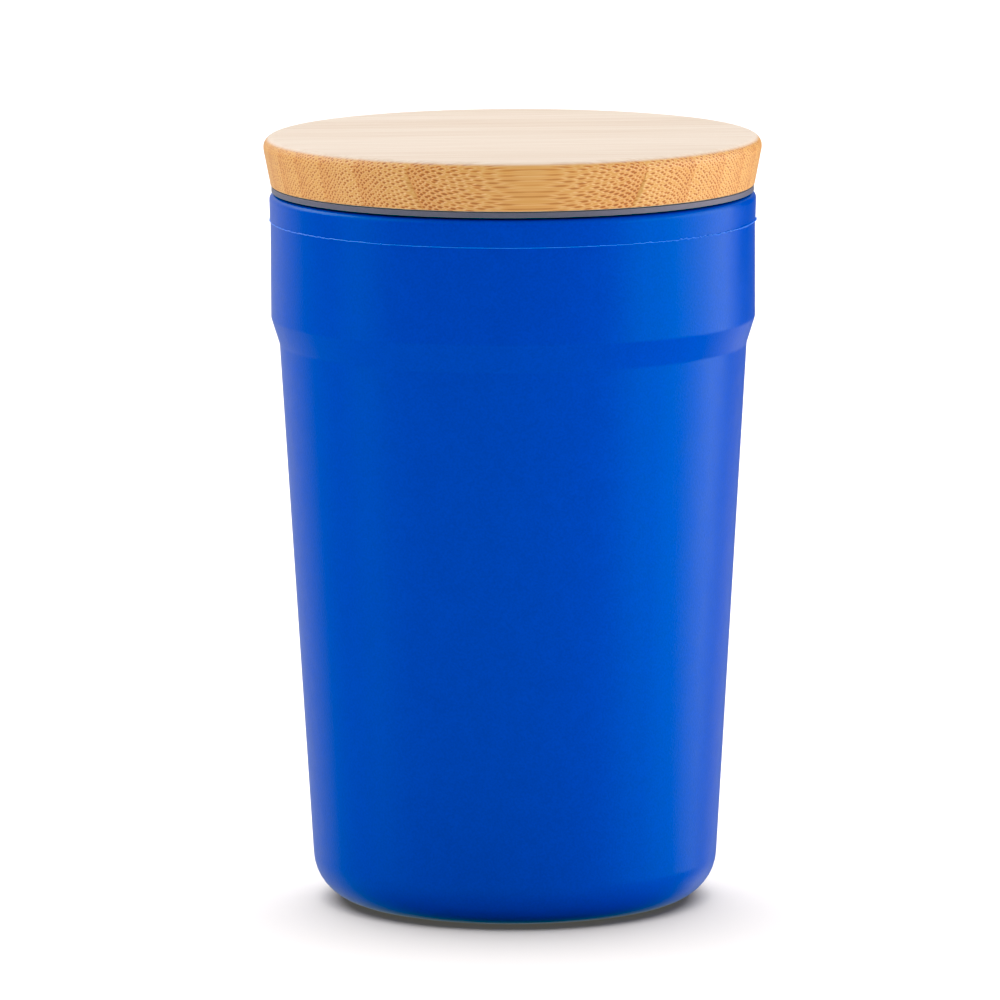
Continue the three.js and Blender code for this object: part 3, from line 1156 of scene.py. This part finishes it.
@dataclass
class LidScrews:
    """Pan-head screws that hold the plug to the board."""

    sizes: LidSizes
    radius: float = 1.5 * MM
    core: float = 1.1 * MM
    head_radius: float = 2.8 * MM
    head_height: float = 1.8 * MM
    head_gap: float = 0.1 * MM
    head_crown: float = 0.8
    head_side: float = 0.6 * MM
    bite: float = 5.5 * MM
    point: float = 2.0 * MM
    pitch: float = 1.1 * MM
    thread_half: float = 0.3 * MM
    thread_start: float = 1.5 * MM
    thread_end: float = 2.4 * MM
    root: float = 0.1 * MM
    cross: tuple[float, float, float] = (3.0 * MM, 0.7 * MM, 1.8 * MM)

    def _body(self) -> Shape:
        """Head, core and point on the Z axis."""
        top = self.sizes.board_foot - self.sizes.web - self.head_gap
        foot = top - self.head_height
        tip = self.sizes.board_foot + self.bite
        return Outline([
            (0, foot, 0), (self.head_radius * self.head_crown, foot, 0.5 * MM),
            (self.head_radius, top - self.head_side, 0.4 * MM),
            (self.head_radius, top, 0.1 * MM), (self.core, top, 0.1 * MM),
            (self.core, tip - self.point, 0.3 * MM),
            (0, tip, 0)], round_steps=4).turned(48)

    def _thread(self) -> Shape:
        """The thread, a wedge wound up round the core."""
        shape = bmesh.new()
        low = self.sizes.board_foot - self.thread_start
        high = self.sizes.board_foot + self.bite - self.thread_end
        inner = self.core - self.root
        wedge = [
            shape.verts.new(corner) for corner in (
                (inner, 0, low - self.thread_half), (self.radius, 0, low),
                (inner, 0, low + self.thread_half))]
        face = shape.faces.new(wedge)
        turns = (high - low) / self.pitch
        steps = round(turns * 20)
        bmesh.ops.spin(
            shape, geom=[*wedge, *face.edges, face], cent=CENTRE, axis=UP,
            dvec=(0, 0, (high - low) / steps), angle=FULL_TURN * turns, steps=steps)
        heal(shape)
        return shape

    def _recess(self) -> Shape:
        """The cross recess that is cut into the head."""
        foot = self.sizes.board_foot - self.sizes.web - self.head_gap - self.head_height
        long, wide, deep = self.cross
        arm = [(long / 2, -wide / 2), (long / 2, wide / 2), (wide / 2, wide / 2)]
        quarters = [Matrix.Rotation(quarter * FULL_TURN / 4, 2) for quarter in range(4)]
        plan = [turn @ Vector(corner) for turn in quarters for corner in arm]
        shape = bmesh.new()
        face = shape.faces.new([
            shape.verts.new((*corner, foot - deep / 2)) for corner in plan])
        grown = bmesh.ops.extrude_face_region(shape, geom=[face])["geom"]
        top = [item for item in grown if isinstance(item, bmesh.types.BMVert)]
        bmesh.ops.translate(shape, verts=top, vec=(0, 0, deep))
        bmesh.ops.recalc_face_normals(shape, faces=shape.faces[:])
        return shape

    def build(self, material: Material) -> None:
        """Builds the pieces.

        Args:
            material: Their finish.
        """
        for number, (x, y) in enumerate(self.sizes.screw_places(), 1):
            name = f"screw_{number}"
            piece = finished(
                self._body(), name, material, Body.LID, (f"lid_{name}",))
            carved(piece, self._recess())
            whole = bmesh.new()
            whole.from_mesh(piece.data)
            whole.from_mesh(mesh_of(self._thread(), "thread"))
            bmesh.ops.translate(whole, verts=whole.verts[:], vec=(x, y, 0))
            whole.to_mesh(piece.data)
            whole.free()


# -------- the studio


@dataclass(frozen=True)
class Lamp:
    """A soft box beside the object; azimuth 0 is in front of it, in degrees."""

    name: str
    azimuth: float
    power: float
    size: tuple[float, float]
    height: float
    distance: float = 1.0
    aim: tuple[float, float, float] = (0.0, 0.0, 0.10)

    def build(self) -> bpy.types.Object:
        """Adds the lamp.

        Returns:
            The lamp.
        """
        data = bpy.data.lights.new(self.name, "AREA")
        data.shape = "RECTANGLE"
        data.size, data.size_y = self.size
        data.energy = self.power
        lamp = placed(self.name, data)
        turn = math.radians(self.azimuth)
        place = Vector((
            self.distance * math.sin(turn), -self.distance * math.cos(turn), self.height))
        lamp.location = place
        lamp.rotation_euler = (Vector(self.aim) - place).to_track_quat("-Z", "Y").to_euler()
        lamp.visible_camera = False
        return lamp


@dataclass
class Studio:
    """Pale floor, soft boxes and the camera."""

    floor_size: float = 12.0
    floor_drop: float = 0.03 * MM
    distance: float = 1.686
    height: float = 0.3193
    pitch: float = 0.14777
    roll: float = 0.0036
    focal: float = 360.0
    shift: float = -0.0138
    sensor: float = 36.0
    clip: tuple[float, float] = (0.05, 50.0)
    sky_edge: tuple[float, float] = (0.45, 1.0)
    sky_behind: float = 0.75
    floor_edge: tuple[float, float] = (-0.18, -0.45)
    floor_mirrored: float = 0.62
    under_edge: tuple[float, float] = (-0.8, -0.4)
    under_mirrored: float = 0.12
    sky_turn: float = math.radians(30)
    overhead: float = 2.5
    overhead_spread: float = math.radians(140)
    floor_light: float = 15.4
    floor_light_spread: float = math.radians(95)
    floor_light_lean: float = math.radians(22)
    floor_tone: tuple[float, float] = (0.30, 0.31)
    floor_glow: Colour = (0.10, 0.065, 0.048)
    black_level: Colour = (0.034, 0.0, 0.0)
    lamps: tuple[Lamp, ...] = (
        Lamp("right_box", 89, 13.8, size=(1.5, 0.95), height=0.18),
        Lamp("low_box", 146, 0.45, size=(0.5, 0.45), height=-0.28),
        Lamp("left_box", -77, 3.0, size=(0.4, 1.5), height=0.4),
        Lamp("high_box", -112, 4.2, size=(0.8, 0.6), height=0.8))

    def _floor(self) -> bpy.types.Object:
        """Adds the floor.

        Returns:
            The floor.
        """
        shape = bmesh.new()
        bmesh.ops.create_grid(
            shape, x_segments=2, y_segments=2, size=self.floor_size / 2)
        data = mesh_of(shape, "floor")
        tree = Tree(bpy.data.materials.new("pale_floor"))
        shade = tree.cloud(tree.millimetres(), 0.002, 2.0)
        dark, light = self.floor_tone
        data.materials.append(tree.finish(
            Base_Color=tree.blend(shade, (dark,) * 3, (light,) * 3),
            Emission_Color=self.floor_glow, Emission_Strength=1.0,
            Roughness=0.9, Specular_IOR_Level=0.0))
        floor = placed("floor", data)
        floor.location.z = -self.floor_drop
        floor.visible_glossy = False
        return floor

    def _sky(self) -> None:
        """Sets a surround that is dark in front of the object and pale behind it."""
        world = bpy.data.worlds.new("surround")
        tree = Tree(world)
        x, y, z = tree.split(tree.node("ShaderNodeTexCoord").outputs["Generated"])
        facing = y * math.cos(self.sky_turn) - x * math.sin(self.sky_turn)
        behind = facing.step(*self.sky_edge) * self.sky_behind
        below = z.step(*self.floor_edge) * self.floor_mirrored
        under = z.step(*self.under_edge) * (1 - self.under_mirrored) + self.under_mirrored
        camera = tree.node("ShaderNodeLightPath").outputs["Is Camera Ray"]
        surround = tree.node("ShaderNodeBackground", None, {
            "Color": (1.0, 1.0, 1.0, 1.0),
            "Strength": behind.larger(below * under).larger(camera)})
        tree.node("ShaderNodeOutputWorld", None, {0: surround.outputs[0]})
        bpy.context.scene.world = world

    def _overhead(self, name: str, power: float, spread: float,
                  lean: float = 0.0) -> bpy.types.Object:
        """Adds an even soft light from above.

        Args:
            name: Its name.
            power: Its strength.
            spread: Angle that it fills.
            lean: How far it leans to the back.

        Returns:
            The light.
        """
        data = bpy.data.lights.new(name, "SUN")
        data.energy = power
        data.angle = spread
        light = placed(name, data)
        light.rotation_euler = (-lean, 0, 0)
        return light

    @staticmethod
    def _link(light: bpy.types.Object, floor: bpy.types.Object, state: str) -> None:
        """Keeps a light to the floor, or keeps it off the floor.

        Args:
            light: The light.
            floor: The floor.
            state: INCLUDE or EXCLUDE.
        """
        group = bpy.data.collections.new(light.name + "_" + state.lower())
        group.objects.link(floor)
        light.light_linking.receiver_collection = group
        for entry in group.collection_objects:
            entry.light_linking.link_state = state

    def _camera(self) -> None:
        """Adds the camera."""
        data = bpy.data.cameras.new("camera")
        data.sensor_width = self.sensor
        data.lens = self.focal
        data.shift_x = self.shift
        data.clip_start, data.clip_end = self.clip
        camera = placed("camera", data)
        tilt = Matrix.Rotation(math.pi / 2 - self.pitch, 4, "X")
        turn = tilt @ Matrix.Rotation(-self.roll, 4, "Z")
        camera.matrix_world = Matrix.Translation((0, -self.distance, self.height)) @ turn
        bpy.context.scene.camera = camera

    def build(self) -> None:
        """Builds the studio."""
        floor = self._floor()
        self._sky()
        overhead = self._overhead("overhead", self.overhead, self.overhead_spread)
        self._link(overhead, floor, "EXCLUDE")
        floor_light = self._overhead(
            "floor_light", self.floor_light, self.floor_light_spread, self.floor_light_lean)
        self._link(floor_light, floor, "INCLUDE")
        self._camera()
        for lamp in self.lamps:
            self._link(lamp.build(), floor, "EXCLUDE")
        settings = bpy.context.scene.view_settings
        settings.view_transform = "Standard"
        settings.look = "None"
        settings.use_curve_mapping = True
        settings.curve_mapping.black_level = self.black_level
        settings.curve_mapping.update()


def main() -> None:
    """Builds every sub-assembly in order."""
    logging.basicConfig(level=logging.INFO, format="%(name)s: %(message)s")
    cup = CupSizes()
    lid = LidSizes(cup)
    blue = SatinPlastic(
        "royal_blue_plastic", (0.0, 0.0365, 0.44), roughness=0.36, grain_depth=0.02 * MM,
        gloss_tint=(0.3, 1.0, 1.0), gloss=0.3, shade_range=0.1)
    # The weld flash is a lighter blue than the cup. This is partly stress whitening of the torn
    # plastic and partly a painted highlight along the seam, which also covers the shade line
    # under the collar.
    edge = SatinPlastic("flash_whitening_and_painted_highlight", (0.05, 0.19, 0.80), roughness=0.45)
    grey = SatinPlastic("grey_plastic", (0.128, 0.102, 0.147), roughness=0.5)
    bamboo = Bamboo(
        "sanded_bamboo", pitch=lid.strip_pitch / MM, offset=lid.strip_offset / MM,
        turn=lid.turn)
    clear = Silicone("sleeve_silicone", (0.70, 0.74, 0.77))
    white = Silicone("seal_silicone", (0.62, 0.65, 0.68), glow=0.2)
    blue_material = blue.material()
    OuterShell(cup).build(blue_material)
    InnerLiner(cup).build(blue_material)
    WeldFlash(cup).build(edge.material())
    BrushSleeve(cup).build(clear.material())
    BambooBoard(lid).build(bamboo.material())
    LidPlug(lid).build(grey.material())
    LidSeal(lid).build(white.material())
    LidScrews(lid).build(Steel("screw_steel").material())
    Studio().build()


if __name__ == "__main__":
    main()
